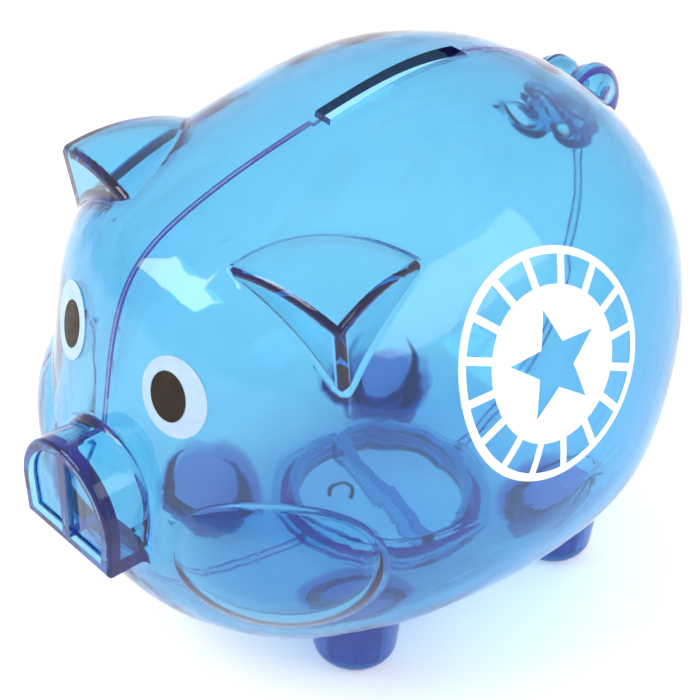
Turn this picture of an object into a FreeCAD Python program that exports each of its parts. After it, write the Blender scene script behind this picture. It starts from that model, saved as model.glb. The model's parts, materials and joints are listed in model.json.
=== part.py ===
"""Translucent piggy bank: two half shells joined at the middle, a pull-out belly plug and printed marks.

Millimetres. The pig faces -Y, its left side is +X, +Z is up. The origin is on the ground under the
middle of the bank's length. Shapes are built about the body centre and moved to the ground at the end.
"""
import FreeCAD, Part
import math
import os

from FreeCAD import Matrix, Placement, Rotation, Vector

os.makedirs("parts", exist_ok=True)

# Body: outline in the plane of symmetry as (y, z) about the body centre, nose first over the top
HALF_WIDTH = 48.0
SIDE_FULLNESS = 0.82
BODY_OUTLINE = [
    (-64.0, 4.0), (-59.8, 26.9), (-54.0, 40.2), (-43.3, 46.3), (-19.4, 52.4), (5.0, 55.4), (26.7, 50.0),
    (43.5, 36.4), (48.8, 0.0), (34.6, -28.3), (5.4, -37.7), (-31.7, -35.1), (-57.7, -22.7),
]
BODY_CENTRE = Vector(0, 7.15, 42.0)
WALL = 2.0


def beside(share, y, z):
    """A place on the left side, as far from the middle as a share of the half width."""
    return Vector(share * HALF_WIDTH, y, z)


# Snout: flat-bottomed arch
SNOUT_FACE_Y = -70.6
SNOUT_RADIUS = 11.8
SNOUT_ARCH_Z = 1.5
SNOUT_FLOOR_Z = -6.0
SNOUT_FLOOR_HALF = 11.2
SNOUT_RIM = 1.9
SNOUT_RECESS = 1.0
SNOUT_ROOT_Y = -50.0
SNOUT_EDGE_RADIUS = 0.8
SNOUT_ROOT_RADIUS = 1.5

# Ear: a hollow point with two flat sides under a domed top, each corner being where a ridge enters the head
EAR_TIP = beside(0.725, -44.2, 41.6)
EAR_INNER = beside(0.26, -47.4, 43.0)
EAR_BACK = beside(0.621, -23.5, 42.4)
EAR_LOW = beside(0.706, -41.9, 26.5)
EAR_DOME_RADIUS = 32.0
EAR_ROOTING = 1.8
EAR_RADIUS = 1.6

# Cheek: a low round swelling behind the snout
CHEEK_CENTRE = beside(0.487, -47.4, -2.5)
CHEEK_HALF = Vector(10.5, 19.5, 16.0)
CHEEK_TURN = -53.0
CHEEK_ROOT_RADIUS = 3.0

# Legs: hollow cups standing on the ground
GROUND_Z = -BODY_CENTRE.z
LEG_PLACES = [beside(0.435, -26.6, GROUND_Z), beside(0.504, 20.2, GROUND_Z)]
LEG_TOP_RADIUS = 9.2
LEG_FOOT_RADIUS = 7.2
LEG_TOP_Z = -22.0
LEG_FOOT_EDGE = 3.4
LEG_FLOOR = 2.4
LEG_ROOT_RADIUS = 1.5

# Curled tail on the rump
TAIL_COIL_RADIUS = 3.9
TAIL_ROPE_RADIUS = 4.2
TAIL_PITCH = 9.0
TAIL_TURNS = 2.0
TAIL_START = Vector(-15.4, 48.2, 28.4)
TAIL_AXIS = Vector(1.0, 0.0, 0.20)

# Coin slot
SLOT_LENGTH = 29.8
SLOT_WIDTH = 3.6
SLOT_CENTRE_Y = -2.2
SLOT_MARGIN = 1.8

# Seam: half-wall tongue on the left shell, step on the right shell
TONGUE_REACH = 1.2

# Belly opening and plug
PLUG_Y = -1.3
BELLY_Z = -36.6
BORE_RADIUS = 17.4
FLANGE_SEAT_RADIUS = BORE_RADIUS + 1.6
FLANGE_THICKNESS = 1.6
COLLAR_RADIUS = FLANGE_SEAT_RADIUS + 1.6
COLLAR_HEIGHT = 3.8
PLUG_CLEARANCE = 0.10
CUP_WALL = 1.6
CUP_HEIGHT = 5.9
CUP_ROOF = 1.3
GRIP_WIDTH = 2.4
GRIP_TURN = -11.0

# Printing
INK = 0.12
PUPIL_INK = 0.10
STAMP_REACH = 10.0
EYE_CENTRE = beside(0.277, -58.2, 25.0)
EYE_FACING = Vector(0.26, -0.94, 0.22)
EYE_HALF_WIDTH = 5.9
EYE_HALF_HEIGHT = 6.7
EYE_LEAN = 8.0
PUPIL_HALF_WIDTH = 3.2
PUPIL_HALF_HEIGHT = 4.2
PUPIL_SHIFT = -0.9
BADGE_CENTRE = beside(0.896, -7.0, 23.5)
BADGE_FACING = Vector(0.86, -0.05, 0.50)
BADGE_RADIUS = 18.5
BADGE_LINE = 1.3
BADGE_DISC_RADIUS = 12.5
BADGE_STAR_RADIUS = 9.0
BADGE_STAR_WAIST = 0.42
BADGE_DASHES = 16
MARK_X = -3.0
MARK_Y = -7.5
MARK_RADIUS = 2.6
MARK_LINE = 0.8
MARK_SWEEP = 250.0

# Boxes that hold the edges of the rounded roots, from corner to corner
SNOUT_ROOT_BOX = (Vector(-14, -68, -9), Vector(14, -50, 16))
CHEEK_ROOT_BOX = (beside(-1, -70, -18), beside(1, -30, 14))
EAR_ROOT_BOX = (beside(0.1, -60, 20), beside(0.94, -10, 60))
LEG_ROOT_BOX = (beside(-0.83, -45, -40), beside(0.83, 40, -20))

BIG = 300.0
TOUCHING = 0.02


def outline_curve(inset):
    """Closed smooth outline of the body in the plane x = 0, drawn in by inset."""
    ys = [y for y, z in BODY_OUTLINE]
    zs = [z for y, z in BODY_OUTLINE]
    mid_y = (min(ys) + max(ys)) / 2
    mid_z = (min(zs) + max(zs)) / 2
    shrink_y = 1 - inset / ((max(ys) - min(ys)) / 2)
    shrink_z = 1 - inset / ((max(zs) - min(zs)) / 2)
    points = []
    for y, z in BODY_OUTLINE:
        points.append(Vector(0, mid_y + (y - mid_y) * shrink_y, mid_z + (z - mid_z) * shrink_z))
    curve = Part.BSplineCurve()
    curve.interpolate(Points=points, PeriodicFlag=True)
    curve.setNotPeriodic()
    return curve


def body_solid(inset):
    """Body skin: the outline shrunk along a rounded arc towards each flank."""
    curve = outline_curve(inset)
    half_width = HALF_WIDTH - inset
    arc = [
        (half_width, 0, 1), (half_width, 1, SIDE_FULLNESS), (0, 1, 1),
        (-half_width, 1, SIDE_FULLNESS), (-half_width, 0, 1),
    ]
    poles = [[Vector(x, p.y * k, p.z * k) for x, k, w in arc] for p in curve.getPoles()]
    weights = [[w for x, k, w in arc] for p in curve.getPoles()]
    surface = Part.BSplineSurface()
    surface.buildFromPolesMultsKnots(
        poles, curve.getMultiplicities(), [3, 2, 3], curve.getKnots(), [0.0, 0.5, 1.0],
        False, False, 3, 2, weights)
    solid = Part.Solid(Part.Shell([Part.Face(surface)]))
    if solid.Volume < 0:
        solid.reverse()
    return solid


def mirrored(shape):
    """The same shape on the other side of the plane of symmetry."""
    return shape.mirror(Vector(0, 0, 0), Vector(1, 0, 0))


def both_sides(shape):
    return [shape, mirrored(shape)]


def solid_from_corners(corners, triangles):
    """Flat-faced solid from its corners and its triangles of corner numbers."""
    faces = []
    for triangle in triangles:
        loop = [corners[i] for i in triangle]
        faces.append(Part.Face(Part.makePolygon(loop + [loop[0]])))
    solid = Part.Solid(Part.makeShell(faces))
    if solid.Volume < 0:
        solid.reverse()
    return solid


def edge_middle(edge):
    return edge.valueAt((edge.FirstParameter + edge.LastParameter) / 2)


def root_edges(shape, skin, box):
    """Edges of shape on the body skin whose middles lie in the box."""
    region = FreeCAD.BoundBox(*box)
    found = []
    for edge in shape.Edges:
        if edge.Degenerated or not region.isInside(edge_middle(edge)):
            continue
        if skin.distToShape(Part.Vertex(edge_middle(edge)))[0] < TOUCHING:
            found.append(edge)
    return found


def edges_ending_at(shape, point):
    return [e for e in shape.Edges if any(v.Point.distanceToPoint(point) < TOUCHING for v in e.Vertexes)]


def snout_arch(inset):
    """Closed face of the snout's arch, in the plane y = 0, drawn in by inset."""
    radius = SNOUT_RADIUS - inset
    half = SNOUT_FLOOR_HALF - inset
    floor = SNOUT_FLOOR_Z + inset
    right = Vector(radius, 0, SNOUT_ARCH_Z)
    left = Vector(-radius, 0, SNOUT_ARCH_Z)
    low_right = Vector(half, 0, floor)
    low_left = Vector(-half, 0, floor)
    arch = Part.Arc(right, Vector(0, 0, SNOUT_ARCH_Z + radius), left).toShape()
    sides = [Part.makeLine(left, low_left), Part.makeLine(low_left, low_right), Part.makeLine(low_right, right)]
    return Part.Face(Part.Wire([arch] + sides))


def snout_block(inset, front_y):
    """Snout from its front back into the head."""
    face = snout_arch(inset)
    face.translate(Vector(0, front_y, 0))
    return face.extrude(Vector(0, SNOUT_ROOT_Y - front_y, 0))


def snout_outer():
    block = snout_block(0, SNOUT_FACE_Y)
    rim = [e for e in block.Edges if e.BoundBox.YMax < SNOUT_FACE_Y + TOUCHING]
    block = block.makeFillet(SNOUT_EDGE_RADIUS, rim)
    panel = snout_arch(SNOUT_RIM)
    panel.translate(Vector(0, SNOUT_FACE_Y, 0))
    recess = panel.extrude(Vector(0, SNOUT_RECESS, 0))
    rib = Part.makeBox(SNOUT_RIM, 2 * SNOUT_RECESS, BIG, Vector(-SNOUT_RIM / 2, SNOUT_FACE_Y, -BIG / 2))
    return block.cut(recess.cut(rib))


def snout_inner(inset):
    return snout_block(inset, SNOUT_FACE_Y + SNOUT_RECESS + inset)


def ear_wedge(inset):
    """Two flat sides of the left ear, meeting in the ridge below the tip, and a third inside the head."""
    ridge = EAR_TIP - EAR_LOW
    inward = EAR_INNER - EAR_TIP
    backward = EAR_BACK - EAR_TIP
    top = EAR_TIP + ridge * (EAR_ROOTING / 2)
    corners = [top, top + inward * EAR_ROOTING, top + backward * EAR_ROOTING, EAR_TIP - ridge * EAR_ROOTING]
    front = ridge.cross(inward).normalize()
    side = backward.cross(ridge).normalize()
    shift = (front + side) * (-inset / (1 + front.dot(side)))
    corners = [corner + shift for corner in corners]
    return solid_from_corners(corners, [(0, 2, 1), (0, 1, 3), (0, 3, 2), (1, 2, 3)])


def ear_dome(inset):
    """Ball whose surface passes through the ear's tip and the two upper corners."""
    inward = EAR_INNER - EAR_TIP
    backward = EAR_BACK - EAR_TIP
    normal = inward.cross(backward)
    to_middle = (backward * inward.dot(inward) - inward * backward.dot(backward)).cross(normal)
    to_middle = to_middle * (1 / (2 * normal.dot(normal)))
    drop = math.sqrt(EAR_DOME_RADIUS ** 2 - to_middle.dot(to_middle))
    if normal.z < 0:
        normal = normal * -1
    ball = Part.makeSphere(EAR_DOME_RADIUS - inset)
    poles_sideways = Rotation(Vector(0, 1, 0), 90)
    ball.Placement = Placement(EAR_TIP + to_middle - normal.normalize() * drop, poles_sideways)
    return ball


def ear(inset):
    return ear_wedge(inset).common(ear_dome(inset))


def cheek(inset):
    """Left cheek swelling, an egg with its short side facing outwards."""
    stretch = Matrix()
    stretch.scale(CHEEK_HALF.x - inset, CHEEK_HALF.y - inset, CHEEK_HALF.z - inset)
    egg = Part.makeSphere(1.0).transformGeometry(stretch)
    egg.Placement = Placement(CHEEK_CENTRE, Rotation(Vector(0, 0, 1), CHEEK_TURN))
    return egg


def leg_outer(place):
    leg = Part.makeCone(LEG_FOOT_RADIUS, LEG_TOP_RADIUS, LEG_TOP_Z - place.z, place)
    foot_edge = [e for e in leg.Edges if e.BoundBox.ZMax < place.z + TOUCHING]
    return leg.makeFillet(LEG_FOOT_EDGE, foot_edge)


def leg_inner(place):
    floor = place + Vector(0, 0, LEG_FLOOR)
    return Part.makeCone(LEG_FOOT_RADIUS - WALL, LEG_TOP_RADIUS - WALL, LEG_TOP_Z - floor.z, floor)


def tail(inset):
    """Curled tail, a rope wound crosswise over the rump with both its ends inside the body."""
    coil = Part.makeHelix(TAIL_PITCH, TAIL_PITCH * TAIL_TURNS, TAIL_COIL_RADIUS)
    radius = TAIL_ROPE_RADIUS - inset
    section = Part.Wire(Part.makeCircle(radius, Vector(TAIL_COIL_RADIUS, 0, 0), Vector(0, 1, 0)))
    rope = Part.Wire(coil.Edges).makePipeShell([section], True, True)
    crosswise = Rotation(Vector(0, 0, 1), TAIL_AXIS)
    ends_inwards = Rotation(Vector(0, 0, 1), -90)
    rope.Placement = Placement(TAIL_START, crosswise.multiply(ends_inwards))
    return rope


def outer_solid():
    """Outside of the bank: body, snout, cheeks, ears, legs and tail with rounded roots."""
    body = body_solid(0)
    skin = body.Shells[0]
    shape = body.fuse(snout_outer())
    root = root_edges(shape, skin, SNOUT_ROOT_BOX)
    shape = shape.makeFillet(SNOUT_ROOT_RADIUS, root)
    shape = shape.fuse(both_sides(cheek(0)))
    root = root_edges(shape, skin, CHEEK_ROOT_BOX)
    root = [e for e in root if abs(edge_middle(e).x) > SNOUT_RADIUS]
    shape = shape.makeFillet(CHEEK_ROOT_RADIUS, root)
    shape = shape.fuse(both_sides(ear(0)))
    for side in (1, -1):
        tip, corner, opposite = [Vector(side * p.x, p.y, p.z) for p in (EAR_TIP, *EAR_ROOT_BOX)]
        root = root_edges(shape, skin, (corner, opposite))
        shape = shape.makeFillet(EAR_RADIUS, root + edges_ending_at(shape, tip))
    shape = shape.fuse([leg for place in LEG_PLACES for leg in both_sides(leg_outer(place))])
    root = root_edges(shape, skin, LEG_ROOT_BOX)
    shape = shape.makeFillet(LEG_ROOT_RADIUS, root)
    return shape.fuse(tail(0))


def inner_solid():
    """Hollow of the bank."""
    parts = [snout_inner(WALL), tail(WALL)]
    for hollow in [ear(WALL), cheek(WALL)] + [leg_inner(place) for place in LEG_PLACES]:
        parts += both_sides(hollow)
    return body_solid(WALL).fuse(parts)


def round_bar(radius, low, high):
    """Upright cylinder on the plug's axis."""
    return Part.makeCylinder(radius, high - low, Vector(0, PLUG_Y, low))


def slot_block(margin, low):
    """Upright block round the coin slot, from a height up."""
    width = SLOT_WIDTH + 2 * margin
    length = SLOT_LENGTH + 2 * margin
    return Part.makeBox(width, length, BIG, Vector(-width / 2, SLOT_CENTRE_Y - length / 2, low))


def whole_shell(outer, inner):
    """Hollow bank with the coin slot and the collar round the belly opening."""
    shell = outer.cut(inner).fuse(round_bar(COLLAR_RADIUS, BELLY_Z, BELLY_Z + COLLAR_HEIGHT))
    shell = shell.cut(slot_block(0, 0))
    shell = shell.cut(round_bar(BORE_RADIUS, BELLY_Z - 2 * WALL, BELLY_Z + COLLAR_HEIGHT + WALL))
    return shell.cut(round_bar(FLANGE_SEAT_RADIUS, BELLY_Z - 2 * WALL, BELLY_Z + FLANGE_THICKNESS))


def half_space(side):
    start = 0 if side > 0 else -BIG
    return Part.makeBox(BIG, 2 * BIG, 2 * BIG, Vector(start, -BIG, -BIG))


def seam_tongue(shell, inner):
    """Inner half of the wall, reaching a little way past the middle into the right shell."""
    mid_wall = body_solid(WALL / 2).fuse(snout_inner(WALL / 2))
    strip = Part.makeBox(TONGUE_REACH, 2 * BIG, 2 * BIG, Vector(-TONGUE_REACH, -BIG, -BIG))
    keep_out = [slot_block(SLOT_MARGIN, 0), round_bar(COLLAR_RADIUS, -BIG, 0)]
    return shell.common(mid_wall).common(strip).cut(keep_out)


def half_shells(outer):
    inner = inner_solid()
    shell = whole_shell(outer, inner)
    tongue = seam_tongue(shell, inner)
    left = shell.common(half_space(1)).fuse(tongue)
    right = shell.common(half_space(-1)).cut(tongue)
    return left, right


def belly_plug():
    """Pull-out plug: flange, cup open downwards, and a bar across the cup to pinch."""
    cup_radius = BORE_RADIUS - PLUG_CLEARANCE
    flange = round_bar(FLANGE_SEAT_RADIUS - PLUG_CLEARANCE, BELLY_Z, BELLY_Z + FLANGE_THICKNESS)
    cup = round_bar(cup_radius, BELLY_Z, BELLY_Z + CUP_HEIGHT)
    roof_edge = [e for e in cup.Edges if e.BoundBox.ZMin > BELLY_Z + CUP_HEIGHT - TOUCHING]
    cup = cup.makeFillet(CUP_WALL / 2, roof_edge)
    hollow = round_bar(cup_radius - CUP_WALL, BELLY_Z, BELLY_Z + CUP_HEIGHT - CUP_ROOF)
    corner = Vector(-cup_radius, PLUG_Y - GRIP_WIDTH / 2, BELLY_Z)
    bar = Part.makeBox(2 * cup_radius, GRIP_WIDTH, CUP_HEIGHT, corner)
    bar.rotate(Vector(0, PLUG_Y, 0), Vector(0, 0, 1), GRIP_TURN)
    return flange.fuse(cup).cut(hollow.cut(bar))


def print_frame(centre, facing, lean):
    """Placement that stands a flat drawing up on the surface, its y axis pointing up the body."""
    up = Vector(0, 0, 1)
    across = up.cross(facing).normalize()
    rise = facing.cross(across).normalize()
    turn = Rotation(across, rise, facing, "ZXY")
    return Placement(centre, turn.multiply(Rotation(Vector(0, 0, 1), lean)))


def ink_layer(low, high):
    """Thin skin between two heights above the body."""
    return body_solid(-high).cut(body_solid(-low))


def printed(drawing, frame, layer):
    """A flat drawing laid on the body as a film of ink."""
    stamps = drawing.extrude(Vector(0, 0, 2 * STAMP_REACH)).Solids
    stamp = stamps[0]
    if len(stamps) > 1:
        stamp = stamp.fuse(stamps[1:]).removeSplitter()
    stamp.translate(Vector(0, 0, -STAMP_REACH))
    stamp.Placement = frame.multiply(stamp.Placement)
    return stamp.common(layer)


def oval(half_width, half_height, shift):
    ellipse = Part.Ellipse(Vector(0, 0, 0), half_height, half_width).toShape()
    ellipse.rotate(Vector(0, 0, 0), Vector(0, 0, 1), 90)
    ellipse.translate(Vector(shift, 0, 0))
    return Part.Face(Part.Wire(ellipse))


def ring_face(outer_radius, inner_radius):
    return disc_face(outer_radius).cut(disc_face(inner_radius))


def disc_face(radius):
    return Part.Face(Part.Wire(Part.makeCircle(radius)))


def star_face(radius):
    """Five-pointed star, one point up."""
    points = []
    for i in range(10):
        reach = radius if i % 2 == 0 else radius * BADGE_STAR_WAIST
        angle = math.radians(90 + 36 * i)
        points.append(Vector(reach * math.cos(angle), reach * math.sin(angle), 0))
    return Part.Face(Part.makePolygon(points + [points[0]]))


def badge_drawing():
    """Plain coin badge: disc with a star cut out, spokes and a rim."""
    drawing = disc_face(BADGE_DISC_RADIUS).cut(star_face(BADGE_STAR_RADIUS))
    spokes = []
    for i in range(BADGE_DASHES):
        start = Vector(-BADGE_LINE / 2, BADGE_DISC_RADIUS - BADGE_LINE / 2, 0)
        spoke = Part.makePlane(BADGE_LINE, BADGE_RADIUS - BADGE_DISC_RADIUS, start)
        spoke.rotate(Vector(0, 0, 0), Vector(0, 0, 1), 360 * i / BADGE_DASHES)
        spokes.append(spoke)
    rim = ring_face(BADGE_RADIUS, BADGE_RADIUS - BADGE_LINE)
    return drawing.fuse(spokes + [rim])


def eye(side):
    """White and pupil of one eye."""
    facing = Vector(EYE_FACING).normalize()
    frame = print_frame(EYE_CENTRE, facing, EYE_LEAN)
    white = printed(oval(EYE_HALF_WIDTH, EYE_HALF_HEIGHT, 0), frame, ink_layer(0, INK))
    pupil_oval = oval(PUPIL_HALF_WIDTH, PUPIL_HALF_HEIGHT, PUPIL_SHIFT)
    pupil = printed(pupil_oval, frame, ink_layer(INK, INK + PUPIL_INK))
    return (white, pupil) if side > 0 else (mirrored(white), mirrored(pupil))


def badge_print():
    frame = print_frame(BADGE_CENTRE, Vector(BADGE_FACING).normalize(), 0)
    return printed(badge_drawing(), frame, ink_layer(0, INK))


def turn_mark():
    """Small curved stroke printed under the plug's roof."""
    z = BELLY_Z + CUP_HEIGHT - CUP_ROOF - INK
    place = Vector(MARK_X, PLUG_Y + MARK_Y, z)
    stroke = Part.makeCylinder(MARK_RADIUS, INK, place, Vector(0, 0, 1), MARK_SWEEP)
    return stroke.cut(Part.makeCylinder(MARK_RADIUS - MARK_LINE, INK, place))


def save(name, shape):
    shape.translate(BODY_CENTRE)
    shape.exportStep("parts/" + name + ".step")


left, right = half_shells(outer_solid())
save("left_shell", left)
save("right_shell", right)
save("belly_plug", belly_plug())
save("plug_mark", turn_mark())
for side_name, side in (("left", 1), ("right", -1)):
    white, pupil = eye(side)
    save(side_name + "_eye_white", white)
    save(side_name + "_eye_pupil", pupil)
save("badge_print", badge_print())
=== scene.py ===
import json
import math

import bpy
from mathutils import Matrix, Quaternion, Vector

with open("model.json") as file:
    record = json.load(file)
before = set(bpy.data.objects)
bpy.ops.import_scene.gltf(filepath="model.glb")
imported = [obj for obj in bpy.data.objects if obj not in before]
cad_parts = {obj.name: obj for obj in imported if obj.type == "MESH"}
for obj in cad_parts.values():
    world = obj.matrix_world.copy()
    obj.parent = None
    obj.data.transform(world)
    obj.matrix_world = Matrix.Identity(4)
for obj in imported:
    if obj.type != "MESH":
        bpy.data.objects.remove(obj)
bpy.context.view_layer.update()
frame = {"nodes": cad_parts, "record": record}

# A clear blue piggy bank: moulded shells and plug, printed eyes, badge and mark. Lengths are in metres.

# Camera: where it looks, from which side in degrees, and how far off
AIM = Vector((-0.0047, 0.0013, 0.0413))
CAMERA_AZIMUTH = 47.4
CAMERA_ELEVATION = 35.96
CAMERA_DISTANCE = 0.3395
CAMERA_ROLL = 1.34
LENS_MM = 97.85
NEAREST_SEEN = 0.01

# Studio: white surroundings, a pale floor and lamps a little lower than they are wide
SURROUNDINGS = 0.93
FLOOR_SIZE = 6.0
FLOOR_DARK = (0.94, 0.93, 0.92)
FLOOR_LIGHT = (0.97, 0.96, 0.95)
FLOOR_GLOW = 0.25
LAMP_DISTANCE = 0.9
LAMP_HEIGHT_SHARE = 0.7
LIGHT_BOUNCES = 32
WHITE = (1.0, 1.0, 1.0)

# Plastic: tint of its surface, then the colour that its inside lets through and how densely it absorbs
PLASTIC_IOR = 1.49
PLASTIC_DARK = (0.91, 0.95, 0.965)
PLASTIC_LIGHT = (0.96, 0.98, 0.975)
PLASTIC_PASSES = (0.0, 0.66, 0.857)
PLASTIC_DENSITY = 500.0
PLASTIC_SHADOW = (0.82, 0.92, 0.98)
# Painted light: a faint violet glow of the plastic, so thick edges and the shade seen through it come
# out lighter
PAINTED_GLOW_COLOUR = (0.22, 0.12, 1.0)
PAINTED_GLOW = 0.015

# Painted shade on the legs: a violet darkening near the ground, standing in for the dark of thick
# plastic over the shaded floor; how far it reaches from a foot's middle and from the ground
LEG_PAINTED_SHADE = (0.46, 0.36, 0.66)
PAINTED_SHADE_RADIUS = 0.0098
PAINTED_SHADE_TOP = 0.013
PAINTED_SHADE_EDGE = 0.0012

# Inks: a printed film has little shine, and its gloss wanders by this much to either side
INK_SPECULAR = 0.2
INK_GLOSS_SPREAD = 0.08

# A noise mostly lies between these two values
NOISE_LOW = 0.3
NOISE_HIGH = 0.7


def direction(azimuth, elevation):
    """Unit vector from the bank towards a place round it; azimuth 0 is straight ahead of the snout."""
    turn = math.radians(azimuth)
    rise = math.radians(elevation)
    return Vector((math.sin(turn) * math.cos(rise), -math.cos(turn) * math.cos(rise), math.sin(rise)))


def look_at_bank(obj, back, distance):
    """Puts a camera or lamp at a distance from the bank, facing it."""
    obj.location = AIM + back * distance
    obj.rotation_mode = "QUATERNION"
    obj.rotation_quaternion = (-back).to_track_quat("-Z", "Y")
    bpy.context.scene.collection.objects.link(obj)


def camera():
    data = bpy.data.cameras.new("camera")
    data.lens = LENS_MM
    data.clip_start = NEAREST_SEEN
    cam = bpy.data.objects.new("camera", data)
    look_at_bank(cam, direction(CAMERA_AZIMUTH, CAMERA_ELEVATION), CAMERA_DISTANCE)
    roll = Quaternion((0, 0, 1), math.radians(CAMERA_ROLL))
    cam.rotation_quaternion = cam.rotation_quaternion @ roll
    bpy.context.scene.camera = cam


def lamp(name, azimuth, elevation, size, power, colour):
    """Soft rectangular lamp facing the bank."""
    light = bpy.data.lights.new(name, "AREA")
    light.shape = "RECTANGLE"
    light.size = size
    light.size_y = size * LAMP_HEIGHT_SHARE
    light.energy = power
    light.color = colour
    look_at_bank(bpy.data.objects.new(name, light), direction(azimuth, elevation), LAMP_DISTANCE)


def surroundings():
    """White light from all sides."""
    world = bpy.data.worlds.new("studio")
    bpy.context.scene.world = world
    world.use_nodes = True
    background = world.node_tree.nodes["Background"]
    background.inputs["Color"].default_value = opaque(WHITE)
    background.inputs["Strength"].default_value = SURROUNDINGS


def studio():
    """Pale floor, white surroundings and two soft lamps; many bounces, so thick plastic stays clear."""
    scene = bpy.context.scene
    scene.view_settings.view_transform = "Standard"
    scene.cycles.max_bounces = LIGHT_BOUNCES
    scene.cycles.transmission_bounces = LIGHT_BOUNCES
    scene.cycles.glossy_bounces = LIGHT_BOUNCES
    surroundings()
    bpy.ops.mesh.primitive_plane_add(size=FLOOR_SIZE)
    floor = bpy.context.object
    floor.name = "floor"
    floor.data.materials.append(floor_paint())
    lamp("key", azimuth=-26, elevation=44, size=0.55, power=4.5, colour=(1.0, 0.95, 0.78))
    lamp("side", azimuth=110, elevation=40, size=0.5, power=1.2, colour=(0.95, 0.98, 1.0))


def opaque(colour):
    return (*colour, 1.0)


class Paint:
    """A material under construction, with short ways to add its nodes."""

    def __init__(self, name):
        self.material = bpy.data.materials.new(name)
        self.material.use_nodes = True
        self.tree = self.material.node_tree
        self.shader = self.tree.nodes["Principled BSDF"]
        self.output = self.tree.nodes["Material Output"]
        self.place = self.tree.nodes.new("ShaderNodeTexCoord").outputs["Object"]

    def set(self, **values):
        """Sets the shader's own sockets; an underscore stands for a space in a socket's name."""
        for key, value in values.items():
            self.shader.inputs[key.replace("_", " ")].default_value = value

    def feed(self, source, key):
        """Links source to a socket of the shader."""
        self.tree.links.new(source, self.shader.inputs[key])

    def node(self, kind, *sources, **settings):
        """Any node, with its sockets fed by sources in order."""
        node = self.tree.nodes.new(kind)
        for key, value in settings.items():
            setattr(node, key, value)
        for socket, source in zip(node.inputs, sources):
            if hasattr(source, "node"):
                self.tree.links.new(source, socket)
            else:
                socket.default_value = source
        return node

    def math(self, operation, *sources):
        return self.node("ShaderNodeMath", *sources, operation=operation).outputs[0]

    def noise(self, scale, detail=3.0, roughness=0.5):
        node = self.tree.nodes.new("ShaderNodeTexNoise")
        node.inputs["Scale"].default_value = scale
        node.inputs["Detail"].default_value = detail
        node.inputs["Roughness"].default_value = roughness
        self.tree.links.new(self.place, node.inputs["Vector"])
        return node.outputs["Fac"]

    def spread(self, value, low, high, start=NOISE_LOW, end=NOISE_HIGH):
        """value from start to end becomes low to high."""
        node = self.tree.nodes.new("ShaderNodeMapRange")
        node.inputs["From Min"].default_value = start
        node.inputs["From Max"].default_value = end
        node.inputs["To Min"].default_value = low
        node.inputs["To Max"].default_value = high
        self.tree.links.new(value, node.inputs["Value"])
        return node.outputs["Result"]

    def colours(self, value, dark, light):
        """value runs between two colours."""
        node = self.tree.nodes.new("ShaderNodeValToRGB")
        first, last = node.color_ramp.elements
        first.position = NOISE_LOW
        first.color = opaque(dark)
        last.position = NOISE_HIGH
        last.color = opaque(light)
        self.tree.links.new(value, node.inputs["Fac"])
        return node.outputs["Color"]

    def blend(self, share, colour, plain):
        """Turns a linked colour into a plain one where share is 1."""
        mix = self.tree.nodes.new("ShaderNodeMix")
        mix.data_type = "RGBA"
        first, second = [socket for socket in mix.inputs if socket.type == "RGBA"]
        self.tree.links.new(share, mix.inputs["Factor"])
        self.tree.links.new(colour, first)
        second.default_value = opaque(plain)
        return next(socket for socket in mix.outputs if socket.type == "RGBA")

    def bump(self, height, strength, distance):
        node = self.tree.nodes.new("ShaderNodeBump")
        node.inputs["Strength"].default_value = strength
        node.inputs["Distance"].default_value = distance
        self.tree.links.new(height, node.inputs["Height"])
        self.feed(node.outputs["Normal"], "Normal")

    def absorb(self, passes, density):
        """The inside takes colour out of the light that goes through."""
        node = self.tree.nodes.new("ShaderNodeVolumeAbsorption")
        node.inputs["Color"].default_value = opaque(passes)
        node.inputs["Density"].default_value = density
        self.tree.links.new(node.outputs["Volume"], self.output.inputs["Volume"])

    def tint_shadow(self, colour):
        """Lamps shine straight through and leave a tinted shadow."""
        clear = self.tree.nodes.new("ShaderNodeBsdfTransparent")
        clear.inputs["Color"].default_value = opaque(colour)
        is_shadow = self.tree.nodes.new("ShaderNodeLightPath").outputs["Is Shadow Ray"]
        solid = self.shader.outputs["BSDF"]
        mix = self.node("ShaderNodeMixShader", is_shadow, solid, clear.outputs["BSDF"])
        self.tree.links.new(mix.outputs["Shader"], self.output.inputs["Surface"])


def floor_paint():
    paint = Paint("floor_paint")
    paint.feed(paint.colours(paint.noise(scale=3.0), FLOOR_DARK, FLOOR_LIGHT), "Base Color")
    paint.set(Roughness=0.7, Emission_Color=opaque(WHITE), Emission_Strength=FLOOR_GLOW)
    return paint.material


def mount_place(name):
    """Where a mount of the record is."""
    return next(mount["pos_m"] for mount in frame["record"]["mounts"] if mount["name"] == name)


def fading(paint, length, reach):
    """1 up to a reach, then 0 past a soft edge."""
    return paint.spread(length, low=1.0, high=0.0, start=reach, end=reach + PAINTED_SHADE_EDGE)


def near_foot(paint, flat, foot):
    """1 within a leg's radius of a foot, seen from above."""
    away = paint.node("ShaderNodeVectorMath", flat, Vector(mount_place(foot)), operation="DISTANCE")
    return fading(paint, away.outputs["Value"], PAINTED_SHADE_RADIUS)


def leg_painted_shade(paint):
    """Mask of the painted shade: 1 in the four legs near the ground, 0 elsewhere, with a soft edge; the
    right legs mirror the left ones.
    """
    place = paint.node("ShaderNodeSeparateXYZ", paint.place).outputs
    across = paint.math("ABSOLUTE", place["X"])
    flat = paint.node("ShaderNodeCombineXYZ", across, place["Y"], 0.0).outputs[0]
    front = near_foot(paint, flat, "foot_front_left")
    rear = near_foot(paint, flat, "foot_rear_left")
    low = fading(paint, place["Z"], PAINTED_SHADE_TOP)
    return paint.math("MULTIPLY", paint.math("MAXIMUM", front, rear), low)


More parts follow.
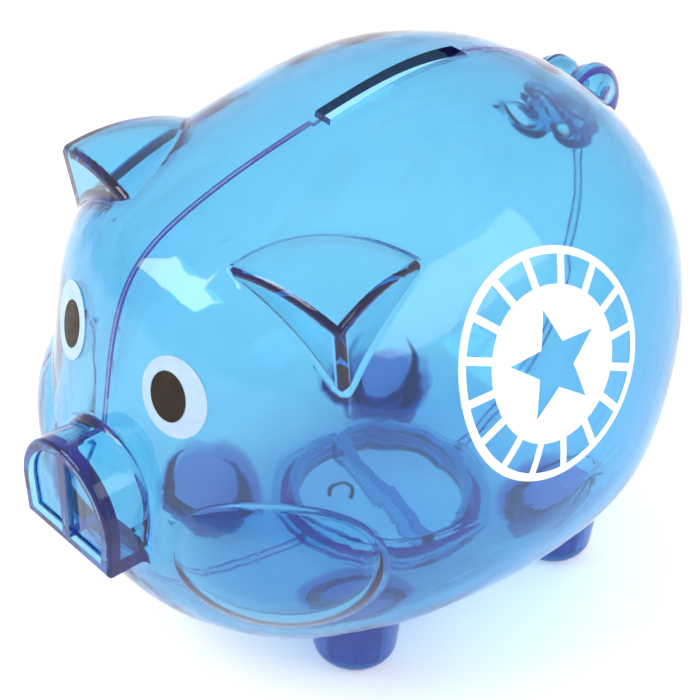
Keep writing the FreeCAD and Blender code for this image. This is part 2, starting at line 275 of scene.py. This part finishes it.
def clear_plastic(name):
    """Polished tinted plastic, moulded a little wavy, with fine scuffs, painted shade that darkens the
    legs near the ground, and a faint painted glow.
    """
    paint = Paint(name)
    paint.set(IOR=PLASTIC_IOR, Transmission_Weight=1.0)
    unshaded_tint = paint.colours(paint.noise(scale=35.0), PLASTIC_DARK, PLASTIC_LIGHT)
    # painted shade: the legs' surfaces turn violet near the ground
    paint.feed(paint.blend(leg_painted_shade(paint), unshaded_tint, LEG_PAINTED_SHADE), "Base Color")
    polish = paint.spread(paint.noise(scale=260.0, detail=5.0), low=0.02, high=0.06)
    grain = paint.noise(scale=900.0, detail=8.0, roughness=0.8)
    scuffs = paint.spread(grain, low=0.0, high=0.12, start=0.66, end=0.78)
    paint.feed(paint.math("ADD", polish, scuffs), "Roughness")
    paint.bump(paint.noise(scale=55.0, detail=2.0), strength=0.12, distance=0.0006)
    # painted light: a faint violet glow on every surface of the plastic
    paint.set(Emission_Color=opaque(PAINTED_GLOW_COLOUR), Emission_Strength=PAINTED_GLOW)
    paint.absorb(PLASTIC_PASSES, PLASTIC_DENSITY)
    paint.tint_shadow(PLASTIC_SHADOW)
    return paint.material


def ink(name, dark, light, roughness):
    """Screen-printed ink: nearly flat, a little uneven in cover and gloss."""
    paint = Paint(name)
    paint.feed(paint.colours(paint.noise(scale=400.0, detail=4.0), dark, light), "Base Color")
    gloss = paint.noise(scale=900.0)
    gloss = paint.spread(gloss, low=roughness - INK_GLOSS_SPREAD, high=roughness + INK_GLOSS_SPREAD)
    paint.feed(gloss, "Roughness")
    paint.set(Specular_IOR_Level=INK_SPECULAR)
    paint.bump(paint.noise(scale=1600.0, detail=2.0), strength=0.15, distance=0.0001)
    return paint.material


def dress(node, material):
    """Gives a CAD node its material."""
    mesh = frame["nodes"][node].data
    mesh.materials.clear()
    mesh.materials.append(material)


def plastic_pieces():
    """The two half shells and the plug."""
    shell_plastic = clear_plastic("shell_plastic")
    dress("left_shell", shell_plastic)
    dress("right_shell", shell_plastic)
    dress("belly_plug", clear_plastic("plug_plastic"))


def printed_pieces():
    """Eyes, badge and the mark on the plug."""
    white_ink = ink("white_ink", dark=(0.35, 0.50, 0.70), light=(0.41, 0.56, 0.75), roughness=0.45)
    pupil_ink = ink("pupil_ink", dark=(0.014, 0.008, 0.005), light=(0.024, 0.015, 0.009), roughness=0.5)
    for side in ("left", "right"):
        dress(side + "_eye_white", white_ink)
        dress(side + "_eye_pupil", pupil_ink)
    badge_ink = ink("badge_ink", dark=(0.90, 0.92, 0.96), light=(0.97, 0.98, 1.0), roughness=0.4)
    dress("badge_print", badge_ink)
    mark_ink = ink("mark_ink", dark=(0.03, 0.10, 0.13), light=(0.05, 0.16, 0.19), roughness=0.4)
    dress("plug_mark", mark_ink)


camera()
studio()
plastic_pieces()
printed_pieces()
